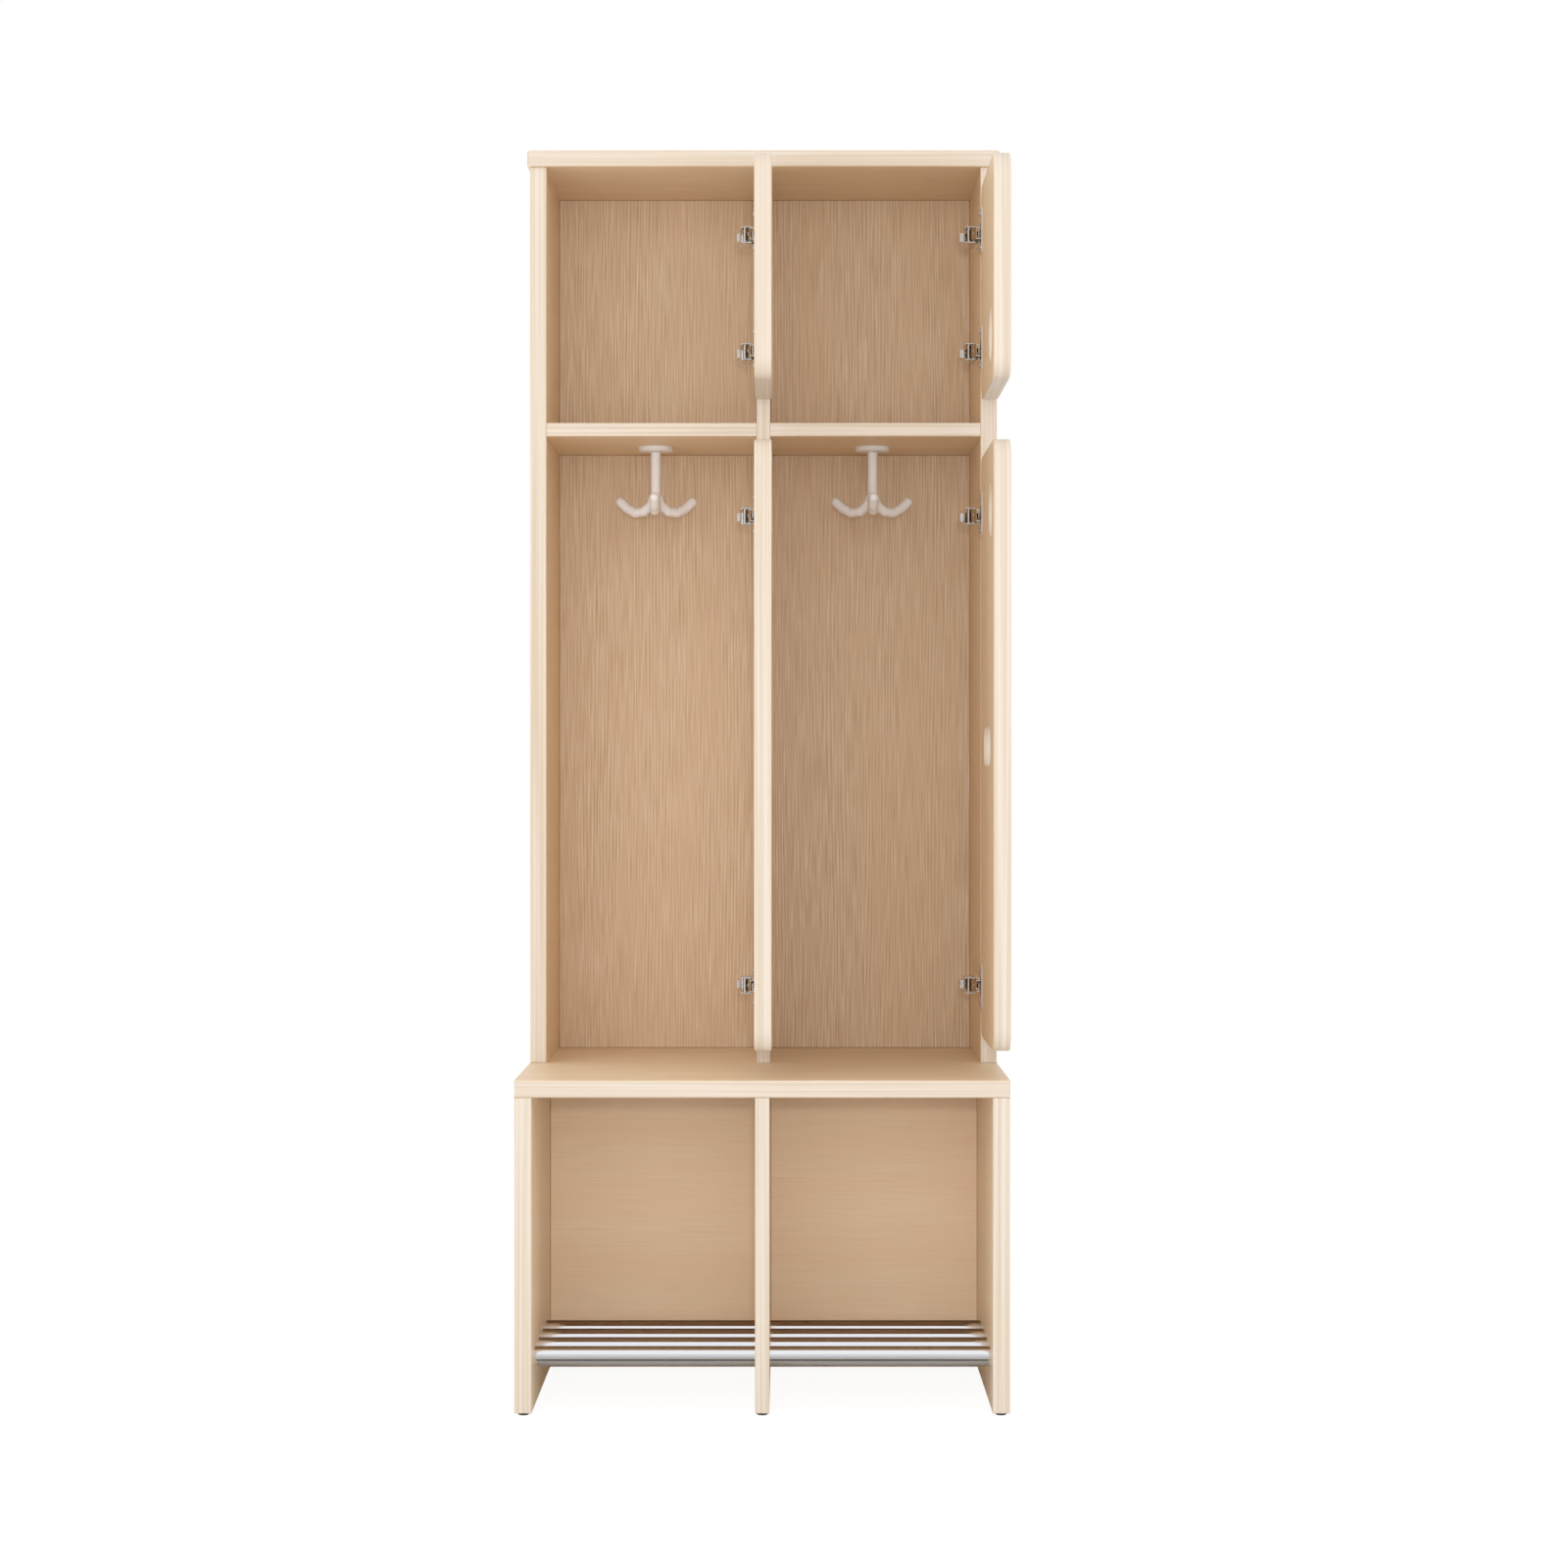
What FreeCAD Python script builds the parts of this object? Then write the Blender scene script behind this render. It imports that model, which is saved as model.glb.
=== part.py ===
import FreeCAD, Part
import math
import os
from FreeCAD import Vector

os.makedirs("parts", exist_ok=True)

# Carcass, in millimetres: X runs to the right, Y to the rear, Z up.
outer_board = 22.0
inner_board = 18.0
compartment_width = 282.0
cabinet_depth = 300.0
bench_projection = 290.0
bench_panel_height = 398.0
coat_space_height = 840.0
hat_space_height = 343.0
board_edge_radius = 1.5
seat_edge_radius = 3.0

# Top board
top_side_overhang = 4.0
top_front_overhang = 5.0
top_corner_radius = 8.0
top_edge_radius = 3.0

# Back panels
cabinet_back_thickness = 4.0
cabinet_back_inset = 20.0
groove_depth = 8.0
groove_end_gap = 0.5
bench_back_setback = 367.5

# Wooden dowels that join the boards
dowel_diameter = 8.0
dowel_length = 30.0
dowel_face_depth = 8.0
dowel_end_inset = 45.0

# Nail-in glides under the bench panels
glide_diameter = 14.0
glide_height = 4.0
glide_bevel = 1.0
glide_end_inset = 17.0
glide_pin_diameter = 4.0
glide_pin_length = 14.0

# Shoe rack tubes
shoe_tube_diameter = 25.0
shoe_tube_wall = 1.5
shoe_tube_rise = 64.0
shoe_tube_first = 54.0
shoe_tube_pitch = 75.0
shoe_tube_count = 4
shoe_tube_seat_depth = 10.0
shoe_tube_fit = 0.1

# Doors, hung on the right of each compartment and drawn standing open
door_board = 22.0
door_width = 297.0
door_corner_radius = 30.0
door_edge_radius = 2.0
door_hole_bevel = 1.0
upper_door_margin = 28.5
lower_door_top_margin = 30.0
lower_door_bottom_margin = 36.0
finger_hole_diameter = 69.0
finger_hole_from_free_edge = 73.0
upper_finger_hole_rise = 62.0
lower_finger_hole_drop = 86.0
vent_slot_length = 150.0
vent_slot_height = 51.0

# How the doors hang: gap when closed and when open, and how far they overlap the board
closed_gap = 4.0
open_gap = 4.0
right_door_overlay = 20.0
left_door_overlay = 15.0
right_door_open_offset = 0.3
left_door_open_offset = -1.2
upper_hinge_top_inset = 62.5
upper_hinge_bottom_inset = 67.0
lower_hinge_top_inset = 77.0
lower_hinge_bottom_inset = 68.0

# Hinge cup, its rim and its flange
cup_diameter = 35.0
cup_edge_distance = 3.0
cup_bore_depth = 12.5
cup_depth = 12.0
cup_wall = 0.9
cup_fit = 0.1
cup_pin_diameter = 2.5
cup_pin_gap = 0.8
rim_diameter = 38.0
rim_thickness = 1.2
flange_length = 63.0
flange_width = 24.0
flange_thickness = 2.0
flange_corner_radius = 6.0
ear_spacing = 45.0
ear_offset = 9.5
cup_screw_head_diameter = 7.0
cup_screw_head_height = 1.8
cup_screw_diameter = 3.5
cup_screw_length = 14.0

# Hinge arm, a stamped channel that opens towards the board
arm_stand = 22.2
arm_height = 22.0
arm_wall = 1.2
arm_corner_radius = 4.0
arm_cheek_gap = 6.5
arm_front = 1.5
arm_length = 57.5
hump_proud = 5.0
hump_height = 11.0
hump_start = 25.0
hump_length = 30.0
hump_edge_radius = 1.5
arm_screw_setback = 45.0
arm_screw_diameter = 5.0
arm_screw_head_diameter = 7.4
arm_screw_head_height = 2.2
arm_screw_head_play = 0.2
arm_screw_length = 12.0

# Mounting plate on the board, in line with the arm
plate_thickness = 2.4
plate_height = 22.0
plate_start = 20.0
plate_length = 48.0
plate_corner_radius = 5.0
plate_screw_first = 28.0
plate_screw_pitch = 32.0
plate_screw_head_diameter = 8.0
plate_screw_head_height = 2.0
plate_screw_diameter = 4.5
plate_screw_length = 14.0
core_height = 14.0
core_start = 34.0
core_length = 20.0
nose_diameter = 7.0
nose_length = 4.0
nose_stand = 8.5

# Hinge links: each swings on a rivet in the arm and reaches into the cup
rivet_diameter = 3.0
rivet_head_diameter = 4.6
rivet_head_height = 0.5
rivet_running_gap = 0.06
outer_rivet_stand = 15.5
outer_rivet_setback = 2.6
inner_rivet_stand = 9.0
inner_rivet_setback = 2.8
link_barrel_diameter = 5.4
link_barrel_end_gap = 0.3
link_end_diameter = 4.0
link_bar_width = 2.6
outer_link_bend_share = 0.7
outer_link_bend_offset = 6.5
outer_link_span = 15.6
outer_link_cheek = 1.2
outer_link_web = 1.0
link_boss_diameter = 4.4
link_boss_height = 0.6
link_boss_share = 0.55
outer_cup_reach = 5.5
inner_link_bend_share = 0.75
inner_link_bend_offset = 6.75
inner_link_span = 6.0
inner_cup_reach = 4.0

# Swivelling triple hook under each shelf
hook_setback = 158.0
rosette_diameter = 48.6
rosette_thickness = 7.0
rosette_rim_height = 4.2
rosette_bevel = 1.8
rosette_flat_diameter = 26.0
swivel_gap = 0.3
stem_diameter = 14.0
stem_length = 78.0
hook_arm_count = 3
hook_arm_root_diameter = 14.0
hook_arm_tip_diameter = 13.6
hook_bend_radius = 27.5
hook_low_reach = 29.0
hook_low_drop = 89.9
hook_tip_angle = 40.0
hook_tip_reach = 57.7
hook_arm_start = 2.0
hook_arc_steps = 4
hook_bolt_diameter = 6.0
hook_bolt_running_gap = 0.08
hook_bolt_reach = 30.0
hook_bolt_head_diameter = 12.0
hook_bolt_head_height = 4.0
hook_collar_diameter = 9.0
hook_collar_height = 3.0

# One overrun for every cut that has to break through a face, and how closely places must match
overrun = 1.0
match_distance = 0.1

# Heights of the boards
bench_bottom = glide_height
seat_underside = bench_bottom + bench_panel_height
seat_top = seat_underside + outer_board
shelf_underside = seat_top + coat_space_height
shelf_top = shelf_underside + inner_board
top_underside = shelf_top + hat_space_height
overall_height = top_underside + outer_board

# Widths: the divider stands on the centre plane
divider_face = inner_board / 2
side_face = divider_face + compartment_width
outer_face = side_face + outer_board
compartment_centre = divider_face + compartment_width / 2

# Depths: the origin is midway between the foremost and the rearmost face
front_reach = max(open_gap + door_width, bench_projection)
cabinet_front = (front_reach - cabinet_depth) / 2
cabinet_rear = cabinet_front + cabinet_depth
bench_front = cabinet_front - bench_projection
cabinet_back_rear = cabinet_rear - cabinet_back_inset
cabinet_back_front = cabinet_back_rear - cabinet_back_thickness
bench_back_front = bench_front + bench_back_setback

# Doors: heights, and the hand of each one
upper_door_bottom = shelf_top + upper_door_margin
upper_door_top = top_underside - upper_door_margin
lower_door_bottom = seat_top + lower_door_bottom_margin
lower_door_top = shelf_underside - lower_door_top_margin
door_edge = cabinet_front - open_gap
door_free_edge = door_edge - door_width
upper_hinges = (upper_door_bottom + upper_hinge_bottom_inset, upper_door_top - upper_hinge_top_inset)
lower_hinges = (lower_door_bottom + lower_hinge_bottom_inset, lower_door_top - lower_hinge_top_inset)

left_hand = {
    "board": -divider_face,
    "overlay": left_door_overlay,
    "offset": left_door_open_offset,
}
right_hand = {
    "board": side_face,
    "overlay": right_door_overlay,
    "offset": right_door_open_offset,
}

along_x = Vector(1, 0, 0)
along_y = Vector(0, 1, 0)
along_z = Vector(0, 0, 1)


def block(x0, x1, y0, y1, z0, z1):
    """A box between two corners."""
    return Part.makeBox(x1 - x0, y1 - y0, z1 - z0, Vector(x0, y0, z0))


def rod(diameter, start, direction, length):
    """A round bar from its start point."""
    return Part.makeCylinder(diameter / 2, length, start, direction)


def joined(solids):
    """One solid from overlapping or touching ones."""
    return solids[0].fuse(solids[1:]).removeSplitter()


def rounded(solid, radius, chosen):
    """The solid with the edges that pass the test rounded off."""
    edges = [edge for edge in solid.Edges if all(chosen(v.Point) for v in edge.Vertexes)]
    return solid.makeFillet(radius, edges)


def near(value, target):
    """Whether a coordinate lies on a plane."""
    return abs(value - target) < match_distance


def export(node, *solids):
    """Write one node, a single solid or a group of like ones."""
    shape = solids[0] if len(solids) == 1 else Part.makeCompound(list(solids))
    shape.exportStep(os.path.join("parts", node + ".step"))


def bored(board, fittings):
    """The board with a seat cut for every fitting that enters it."""
    inside = [f for f in fittings if f.BoundBox.intersect(board.BoundBox)]
    return board.cut(inside) if inside else board


def upright(x0, x1, y0, y1, z0, z1):
    """A standing board whose two front edges are eased."""
    board = block(x0, x1, y0, y1, z0, z1)
    return rounded(board, board_edge_radius, lambda p: near(p.y, y0) and (near(p.x, x0) or near(p.x, x1)))


def make_dowels():
    """Two dowels in every joint between two boards."""
    dowels = []
    cabinet_rows = (cabinet_front + dowel_end_inset, cabinet_back_front - dowel_end_inset)
    bench_rows = (bench_front + dowel_end_inset, cabinet_rear - dowel_end_inset)
    standing = (-(side_face + outer_face) / 2, 0, (side_face + outer_face) / 2)
    for x in standing:
        for y in bench_rows:
            dowels.append(Vector(x, y, seat_underside + dowel_face_depth - dowel_length))
        for y in cabinet_rows:
            dowels.append(Vector(x, y, seat_top - dowel_face_depth))
            dowels.append(Vector(x, y, top_underside + dowel_face_depth - dowel_length))
    solids = [rod(dowel_diameter, start, along_z, dowel_length) for start in dowels]
    shelf_middle = shelf_underside + inner_board / 2
    for start_x in (-side_face, divider_face):
        for y in cabinet_rows:
            left_end = Vector(start_x - dowel_face_depth, y, shelf_middle)
            right_end = Vector(start_x + compartment_width + dowel_face_depth - dowel_length, y, shelf_middle)
            solids.append(rod(dowel_diameter, left_end, along_x, dowel_length))
            solids.append(rod(dowel_diameter, right_end, along_x, dowel_length))
    return solids


def make_glide(x, y):
    """A round plastic foot with a bevelled rim and a nail-like pin."""
    foot = rod(glide_diameter, Vector(x, y, 0), along_z, glide_height)
    rim = [edge for edge in foot.Edges if all(near(v.Point.z, 0) for v in edge.Vertexes)]
    foot = foot.makeChamfer(glide_bevel, rim)
    return joined([foot, rod(glide_pin_diameter, Vector(x, y, 0), along_z, glide_height + glide_pin_length)])


def make_glides():
    """Front and rear glides under the three bench panels."""
    middle = (side_face + outer_face) / 2
    rows = (bench_front + glide_end_inset, cabinet_rear - glide_end_inset)
    return [make_glide(x, y) for x in (-middle, 0, middle) for y in rows]


def make_shoe_tubes():
    """Round tubes that pass through the divider and end in blind seats in the sides."""
    reach = side_face + shoe_tube_seat_depth
    tubes = []
    for index in range(shoe_tube_count):
        y = bench_front + shoe_tube_first + index * shoe_tube_pitch
        start = Vector(-reach, y, bench_bottom + shoe_tube_rise)
        outside = rod(shoe_tube_diameter, start, along_x, 2 * reach)
        bore = rod(shoe_tube_diameter - 2 * shoe_tube_wall, start, along_x, 2 * reach)
        tubes.append(outside.cut(bore))
    return tubes


def tube_seats():
    """The holes that take the shoe tubes, with their fit."""
    reach = side_face + shoe_tube_seat_depth
    seats = []
    for index in range(shoe_tube_count):
        y = bench_front + shoe_tube_first + index * shoe_tube_pitch
        start = Vector(-reach, y, bench_bottom + shoe_tube_rise)
        seats.append(rod(shoe_tube_diameter + 2 * shoe_tube_fit, start, along_x, 2 * reach))
    return seats


def make_cabinet_back():
    """The thin back, held in grooves in the sides, the seat and the top."""
    reach = groove_depth - groove_end_gap
    return block(-side_face - reach, side_face + reach, cabinet_back_front, cabinet_back_rear,
                 seat_top - reach, top_underside + reach)


def back_groove():
    """The groove that runs round the thin back."""
    return block(-side_face - groove_depth, side_face + groove_depth, cabinet_back_front, cabinet_back_rear,
                 seat_top - groove_depth, top_underside + groove_depth)


def make_seat():
    """The bench board, which also carries the cabinet."""
    seat = block(-outer_face, outer_face, bench_front, cabinet_rear, seat_underside, seat_top)
    return rounded(seat, seat_edge_radius, lambda p: near(p.y, bench_front))


def make_top():
    """The top board, a little larger than the cabinet, with rounded front corners."""
    half = outer_face + top_side_overhang
    front = cabinet_front - top_front_overhang
    top = block(-half, half, front, cabinet_rear, top_underside, overall_height)
    corners = [e for e in top.Edges if all(near(v.Point.y, front) for v in e.Vertexes)
               and abs(e.tangentAt(e.FirstParameter).z) > abs(e.tangentAt(e.FirstParameter).x)]
    top = top.makeFillet(top_corner_radius, corners)
    rims = [e for e in top.Edges if near(e.BoundBox.ZLength, 0) and not near(e.CenterOfMass.y, cabinet_rear)]
    return top.makeFillet(top_edge_radius, rims)


def door_axis(hand):
    """The upright line that a door turns about, from its open and its closed place."""
    closed_corner = hand["overlay"]
    x = hand["board"] + (closed_corner + open_gap + hand["offset"] - closed_gap) / 2
    y = cabinet_front + (hand["offset"] - closed_gap - closed_corner - open_gap) / 2
    return Vector(x, y, 0)


def cup_centre(hand, z):
    """The middle of a hinge cup's mouth on the inner face of the open door."""
    y = door_edge - cup_edge_distance - cup_diameter / 2
    return Vector(hand["board"] + hand["offset"], y, z)


def obround(face, y, z, length, height, depth):
    """A slot-shaped solid that lies along Y and is pushed along X."""
    straight = length - height
    middle = block(face, face + depth, y - straight / 2, y + straight / 2, z - height / 2, z + height / 2)
    ends = [rod(height, Vector(face, y + side * straight / 2, z), along_x, depth) for side in (-1, 1)]
    return joined([middle] + ends)


def bevelled_hole(door, tool, face):
    """Cut a hole through the door and bevel both of its rims."""
    door = door.cut(tool)
    hole = tool.BoundBox
    rims = [e for e in door.Edges
            if (near(e.BoundBox.XMin, face) or near(e.BoundBox.XMax, face + door_board))
            and near(e.BoundBox.XLength, 0)
            and hole.isInside(e.CenterOfMass)]
    return door.makeChamfer(door_hole_bevel, rims)


def make_door(hand, bottom, top, hinges, finger_hole_z, slotted):
    """A board with rounded corners and edges, a finger hole and bores for the hinge cups."""
    face = hand["board"] + hand["offset"]
    door = block(face, face + door_board, door_free_edge, door_edge, bottom, top)
    corners = [e for e in door.Edges if near(e.BoundBox.YLength, 0) and near(e.BoundBox.ZLength, 0)]
    door = door.makeFillet(door_corner_radius, corners)
    rims = [e for e in door.Edges if near(e.BoundBox.XLength, 0)]
    door = door.makeFillet(door_edge_radius, rims)
    hole_y = door_free_edge + finger_hole_from_free_edge
    hole = rod(finger_hole_diameter, Vector(face - overrun, hole_y, finger_hole_z), along_x,
               door_board + 2 * overrun)
    door = bevelled_hole(door, hole, face)
    if slotted:
        slot = obround(face - overrun, (door_edge + door_free_edge) / 2, (bottom + top) / 2,
                       vent_slot_length, vent_slot_height, door_board + 2 * overrun)
        door = bevelled_hole(door, slot, face)
    cups = [rod(cup_diameter, cup_centre(hand, z) - along_x * overrun, along_x, cup_bore_depth + overrun)
            for z in hinges]
    screws = [screw for z in hinges for screw in make_cup_screws(hand, z)]
    return bored(door, cups + screws)


def ear_centres(hand, z):
    """Where the two flange screws of a cup go in."""
    mouth = cup_centre(hand, z)
    return [mouth + Vector(0, -ear_offset, side * ear_spacing / 2) for side in (-1, 1)]


def cup_pin(hand, z, shell):
    """The pin across the cup, just beside the end of the inner link."""
    end = link_end(hand, rivet_centres(hand, z)[1], inner_cup_reach)
    away = (end - door_axis(hand) - along_z * z).normalize()
    beside = end + Vector(away.y, -away.x, 0) * ((link_end_diameter + cup_pin_diameter) / 2 + cup_pin_gap)
    pin = rod(cup_pin_diameter, beside - along_z * cup_diameter / 2, along_z, cup_diameter)
    return pin.common(shell)


def make_cup(hand, z):
    """A drawn steel cup with a thin rim, an upright flange for its two screws and a pin across it."""
    mouth = cup_centre(hand, z)
    flange_face = mouth - along_x * flange_thickness
    outside = cup_diameter - 2 * cup_fit
    shell = rod(outside, mouth, along_x, cup_depth)
    rim = rod(rim_diameter, mouth - along_x * rim_thickness, along_x, rim_thickness)
    middle = mouth.y - ear_offset
    flange = block(flange_face.x, mouth.x, middle - flange_width / 2, middle + flange_width / 2,
                   z - flange_length / 2, z + flange_length / 2)
    corners = [e for e in flange.Edges if near(e.BoundBox.YLength, 0) and near(e.BoundBox.ZLength, 0)]
    flange = flange.makeFillet(flange_corner_radius, corners)
    cavity = rod(outside - 2 * cup_wall, flange_face - along_x * overrun, along_x,
                 overrun + flange_thickness + cup_depth - cup_wall)
    holes = [rod(cup_screw_diameter, ear - along_x * (flange_thickness + overrun), along_x,
                 flange_thickness + 2 * overrun) for ear in ear_centres(hand, z)]
    hollow = joined([shell, rim, flange]).cut([cavity] + holes)
    return joined([hollow, cup_pin(hand, z, shell)])


def make_screw(start, direction, length, diameter, head_diameter, head_height):
    """A screw whose head sits on the point given and whose shank runs on along the direction."""
    head = Part.makeCone(head_diameter / 2 - head_height / 2, head_diameter / 2, head_height,
                         start - direction * head_height, direction)
    return joined([head, rod(diameter, start, direction, length)])


def make_cup_screws(hand, z):
    """The two wood screws that hold a cup in the door."""
    return [make_screw(ear - along_x * flange_thickness, along_x, cup_screw_length, cup_screw_diameter,
                       cup_screw_head_diameter, cup_screw_head_height) for ear in ear_centres(hand, z)]


def make_arm(hand, z):
    """A channel bent from sheet, with a raised hump and holes for its screw and rivets."""
    board = hand["board"]
    web = board - arm_stand
    open_side = board - arm_cheek_gap
    front = cabinet_front - arm_front
    rear = front + arm_length
    half = arm_height / 2
    outside = block(web, open_side, front, rear, z - half, z + half)
    outside = rounded(outside, arm_corner_radius, lambda p: near(p.x, web) and not near(p.z, z))
    channel = block(web + arm_wall, open_side + overrun, front - overrun, rear + overrun,
                    z - half + arm_wall, z + half - arm_wall)
    channel = rounded(channel, arm_corner_radius - arm_wall, lambda p: near(p.x, web + arm_wall))
    hump_front = cabinet_front + hump_start
    hump = block(web - hump_proud, web, hump_front, hump_front + hump_length,
                 z - hump_height / 2, z + hump_height / 2)
    hump = rounded(hump, hump_edge_radius, lambda p: near(p.x, web - hump_proud))
    screw = make_arm_screw(hand, z)
    recess = rod(arm_screw_head_diameter + 2 * arm_screw_head_play,
                 arm_screw_seat(hand, z) - along_x * (arm_screw_head_height + overrun), along_x,
                 arm_screw_head_height + overrun)
    return joined([outside.cut(channel), hump]).cut([screw, recess] + rivet_shanks(hand, z))


def rivet_centres(hand, z):
    """The outer and the inner rivet of an arm."""
    outer = Vector(hand["board"] - outer_rivet_stand, cabinet_front + outer_rivet_setback, z)
    inner = Vector(hand["board"] - inner_rivet_stand, cabinet_front + inner_rivet_setback, z)
    return outer, inner


def rivet_shanks(hand, z):
    """The plain shanks, which also cut the holes in the arm."""
    drop = along_z * (arm_height / 2)
    return [rod(rivet_diameter, centre - drop, along_z, arm_height) for centre in rivet_centres(hand, z)]


def make_rivets(hand, z):
    """Two rivets with a low head on each cheek of the arm."""
    rivets = []
    for centre, shank in zip(rivet_centres(hand, z), rivet_shanks(hand, z)):
        top = centre + along_z * (arm_height / 2)
        bottom = centre - along_z * (arm_height / 2 + rivet_head_height)
        heads = [rod(rivet_head_diameter, start, along_z, rivet_head_height) for start in (top, bottom)]
        rivets.append(joined([shank] + heads))
    return rivets


def arm_screw_seat(hand, z):
    """Where the arm screw's head sits, sunk flush with the top of the hump."""
    seat_stand = arm_stand + hump_proud - arm_screw_head_height
    return Vector(hand["board"] - seat_stand, cabinet_front + arm_screw_setback, z)


def make_arm_screw(hand, z):
    """The screw that clamps the arm to the core of its mounting plate."""
    return make_screw(arm_screw_seat(hand, z), along_x, arm_screw_length, arm_screw_diameter,
                      arm_screw_head_diameter, arm_screw_head_height)


def make_plate_screws(hand, z):
    """Two wood screws in line behind each other."""
    screws = []
    for index in range(2):
        y = cabinet_front + plate_screw_first + index * plate_screw_pitch
        start = Vector(hand["board"] - plate_thickness, y, z)
        screws.append(make_screw(start, along_x, plate_screw_length, plate_screw_diameter,
                                 plate_screw_head_diameter, plate_screw_head_height))
    return screws


def make_plate(hand, z):
    """A base on the board, a core that carries the arm, and the round adjusting nose."""
    board = hand["board"]
    front = cabinet_front + plate_start
    base = block(board - plate_thickness, board, front, front + plate_length,
                 z - plate_height / 2, z + plate_height / 2)
    corners = [e for e in base.Edges if near(e.BoundBox.YLength, 0) and near(e.BoundBox.ZLength, 0)]
    base = base.makeFillet(plate_corner_radius, corners)
    core_front = cabinet_front + core_start
    core = block(board - arm_stand + arm_wall, board - plate_thickness, core_front, core_front + core_length,
                 z - core_height / 2, z + core_height / 2)
    nose = rod(nose_diameter, Vector(board - nose_stand, core_front - nose_length, z), along_y, nose_length)
    fittings = make_plate_screws(hand, z) + [make_arm_screw(hand, z)]
    return joined([base, core, nose]).cut(fittings)


def turned(point, about, degrees):
    """A point turned about an upright line."""
    angle = math.radians(degrees)
    dx = point.x - about.x
    dy = point.y - about.y
    return Vector(about.x + dx * math.cos(angle) - dy * math.sin(angle),
                  about.y + dx * math.sin(angle) + dy * math.cos(angle), point.z)


def link_end(hand, rivet, reach):
    """Where a link ends in the open cup, so that the closed cup meets the same end again."""
    axis = door_axis(hand)
    away = Vector(rivet.x - axis.x, rivet.y - axis.y, 0).normalize()
    halfway = Vector(axis.x, axis.y, rivet.z) + away * reach
    return turned(halfway, axis, 45)


def link_ratio(hand, rivet, reach):
    """How far a link turns for each degree of its door."""
    axis = door_axis(hand)
    opened = link_end(hand, rivet, reach)
    closed = turned(opened, axis, -90)
    swing = math.atan2(closed.y - rivet.y, closed.x - rivet.x) - math.atan2(opened.y - rivet.y, opened.x - rivet.x)
    return math.degrees(swing) / -90


def flat_bar(start, end, width, shift, z0, z1):
    """A straight bar between two points in plan, moved sideways by the shift."""
    run = Vector(end.x - start.x, end.y - start.y, 0)
    side = Vector(run.y, -run.x, 0).normalize()
    near_side = side * (shift - width / 2)
    far_side = side * (shift + width / 2)
    base = [Vector(start.x, start.y, z0), Vector(end.x, end.y, z0)]
    outline = [base[0] + near_side, base[1] + near_side, base[1] + far_side, base[0] + far_side]
    return Part.Face(Part.makePolygon(outline + outline[:1])).extrude(along_z * (z1 - z0))


def link_bend(start, end, share, offset):
    """The bend that lets a link reach over the rim of the cup."""
    run = end - start
    side = Vector(run.y, -run.x, 0).normalize()
    return start + run * share + side * offset


def link_plate(rivet, bend, end, z0, z1):
    """A cranked plate from the rivet to a round end in the cup."""
    rise = z1 - z0
    knee = rod(link_bar_width, Vector(bend.x, bend.y, z0), along_z, rise)
    tip = rod(link_end_diameter, Vector(end.x, end.y, z0), along_z, rise)
    bars = [flat_bar(rivet, bend, link_bar_width, 0, z0, z1), flat_bar(bend, end, link_bar_width, 0, z0, z1)]
    return joined([knee, tip] + bars)


def finished_link(rivet, plates):
    """The plates joined to a barrel that fills the arm from cheek to cheek and turns on its rivet."""
    half = arm_height / 2 - arm_wall - link_barrel_end_gap
    foot = rivet - along_z * half
    barrel = rod(link_barrel_diameter, foot, along_z, 2 * half)
    bore = rod(rivet_diameter + 2 * rivet_running_gap, foot - along_z * overrun, along_z, 2 * (half + overrun))
    return joined([barrel] + plates).cut(bore)


def make_outer_link(hand, z):
    """Two cranked cheeks with a web between them, stiffened by a round boss."""
    rivet = rivet_centres(hand, z)[0]
    end = link_end(hand, rivet, outer_cup_reach)
    bend = link_bend(rivet, end, outer_link_bend_share, outer_link_bend_offset)
    half = outer_link_span / 2
    cheeks = [link_plate(rivet, bend, end, z + half - outer_link_cheek, z + half),
              link_plate(rivet, bend, end, z - half, z - half + outer_link_cheek)]
    shift = (link_bar_width - outer_link_web) / 2
    web = flat_bar(rivet, bend, outer_link_web, shift, z - half, z + half)
    run = bend - rivet
    side = Vector(run.y, -run.x, 0).normalize()
    boss = rod(link_boss_diameter, rivet + run * link_boss_share + side * (link_bar_width / 2 - outer_link_web / 2),
               side, outer_link_web / 2 + link_boss_height)
    return finished_link(rivet, cheeks + [web, boss])


def make_inner_link(hand, z):
    """One broad cranked lever that swings behind the outer link."""
    rivet = rivet_centres(hand, z)[1]
    end = link_end(hand, rivet, inner_cup_reach)
    bend = link_bend(rivet, end, inner_link_bend_share, inner_link_bend_offset)
    half = inner_link_span / 2
    return finished_link(rivet, [link_plate(rivet, bend, end, z - half, z + half)])


def make_rosette(x, y):
    """A disc against the shelf with a bevelled rim and a gently sloped face, turned in one piece."""
    radius = rosette_diameter / 2
    bore = hook_bolt_diameter / 2
    bottom = shelf_underside - rosette_thickness
    outline = [
        Vector(x + bore, y, shelf_underside),
        Vector(x + radius, y, shelf_underside),
        Vector(x + radius, y, shelf_underside - rosette_rim_height),
        Vector(x + radius - rosette_bevel, y, shelf_underside - rosette_rim_height - rosette_bevel),
        Vector(x + rosette_flat_diameter / 2, y, bottom),
        Vector(x + bore, y, bottom),
    ]
    return Part.Face(Part.makePolygon(outline + outline[:1])).revolve(Vector(x, y, 0), along_z, 360)


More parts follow.
